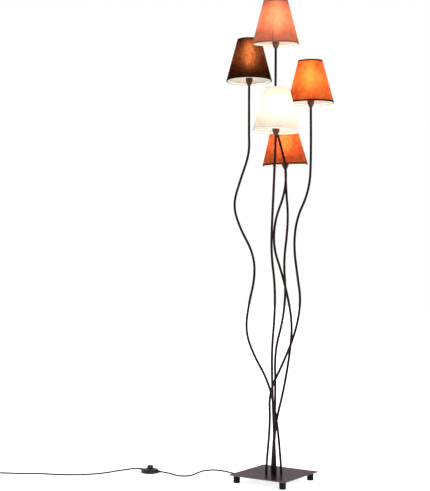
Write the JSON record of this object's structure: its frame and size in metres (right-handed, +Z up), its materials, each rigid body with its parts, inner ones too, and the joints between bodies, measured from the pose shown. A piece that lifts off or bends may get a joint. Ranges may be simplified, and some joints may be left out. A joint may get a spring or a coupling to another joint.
{
  "type": "floor lamp",
  "caption": "Tree-like floor lamp: bent slim tubes rise from a square plate on turned feet, each with an upright cone shade in its own colour; cord with round foot switch.",
  "frame": {"origin": "on the floor under the middle of the square base plate", "axes": "+Z up; X and Y along the plate's edges, and the cord leaves the plate towards -X"},
  "size_m": [1.1743, 0.7193, 1.5917],
  "materials": {
    "plate_paint": "satin brown-grey",
    "foot_plastic": "black, matte",
    "screw_steel": "zinc plated",
    "cover_paint": "black, semi-matte",
    "cord_fittings": "black, satin",
    "terminal_plastic": "off-white",
    "lead_insulation": "grey sheath",
    "cord_rubber": "black, satin",
    "pin_metal": "nickel plated",
    "button_plastic": "black, satin",
    "tube_paint": "satin brown-black",
    "cup_paint": "satin black",
    "holder_plastic": "off-white",
    "frame_paint": "white",
    "rose_fabric": "woven, lit from inside",
    "black_fabric": "woven, lit from inside",
    "white_fabric": "woven, lit from inside",
    "orange_fabric": "woven, lit from inside",
    "bulb_glass": "opal"
  },
  "bodies": {
    "base": {"base_plate": "plate_paint", "feet": "foot_plastic", "foot_screws": "screw_steel", "wiring_cover": "cover_paint", "cover_screws": "screw_steel", "cord_gland": "cord_fittings", "terminal_block": "terminal_plastic", "arm_leads": "lead_insulation", "cord_lead": "cord_rubber", "switch_base": "cord_fittings", "switch_cover": "cord_fittings", "cord_run": "cord_rubber", "cord_coil": "cord_rubber", "cord_tie": "cord_fittings", "cord_tail": "cord_rubber", "plug_body": "cord_fittings", "plug_pins": "pin_metal"},
    "arm_rose": {"tube_rose": "tube_paint", "foot_nut_rose": "screw_steel", "socket_cup_rose": "cup_paint", "lamp_holder_rose": "holder_plastic", "shade_ring_rose": "holder_plastic", "shade_frame_rose": "frame_paint", "shade_rose": "rose_fabric", "bulb_rose": "bulb_glass"},
    "arm_black": {"tube_black": "tube_paint", "foot_nut_black": "screw_steel", "socket_cup_black": "cup_paint", "lamp_holder_black": "holder_plastic", "shade_ring_black": "holder_plastic", "shade_frame_black": "frame_paint", "shade_black": "black_fabric", "bulb_black": "bulb_glass"},
    "arm_white": {"tube_white": "tube_paint", "foot_nut_white": "screw_steel", "socket_cup_white": "cup_paint", "lamp_holder_white": "holder_plastic", "shade_ring_white": "holder_plastic", "shade_frame_white": "frame_paint", "shade_white": "white_fabric", "bulb_white": "bulb_glass"},
    "arm_low": {"tube_low": "tube_paint", "foot_nut_low": "screw_steel", "socket_cup_low": "cup_paint", "lamp_holder_low": "holder_plastic", "shade_ring_low": "holder_plastic", "shade_frame_low": "frame_paint", "shade_low": "orange_fabric", "bulb_low": "bulb_glass"},
    "arm_right": {"tube_right": "tube_paint", "foot_nut_right": "screw_steel", "socket_cup_right": "cup_paint", "lamp_holder_right": "holder_plastic", "shade_ring_right": "holder_plastic", "shade_frame_right": "frame_paint", "shade_right": "orange_fabric", "bulb_right": "bulb_glass"},
    "foot_button": {"switch_button": "button_plastic"}
  },
  "joints": [
    {"name": "rose_swivel", "type": "hinge", "parent": "base", "child": "arm_rose", "pos_m": [0, 0, 0.028], "axis": [0, 0, 1], "range_deg": [-6, 6]},
    {"name": "black_swivel", "type": "hinge", "parent": "base", "child": "arm_black", "pos_m": [0.018, 0.018, 0.028], "axis": [0, 0, 1], "range_deg": [-6, 6]},
    {"name": "white_swivel", "type": "hinge", "parent": "base", "child": "arm_white", "pos_m": [0.018, -0.018, 0.028], "axis": [0, 0, 1], "range_deg": [-6, 6]},
    {"name": "low_swivel", "type": "hinge", "parent": "base", "child": "arm_low", "pos_m": [-0.018, 0.018, 0.028], "axis": [0, 0, 1], "range_deg": [-6, 6]},
    {"name": "right_swivel", "type": "hinge", "parent": "base", "child": "arm_right", "pos_m": [-0.018, -0.018, 0.028], "axis": [0, 0, 1], "range_deg": [-6, 6]},
    {"name": "button_press", "type": "slide", "parent": "base", "child": "foot_button", "axis": [0, 0, -1], "range_m": [0, 0.004], "stiffness_N_per_m": 400, "springref_m": -0.001}
  ]
}
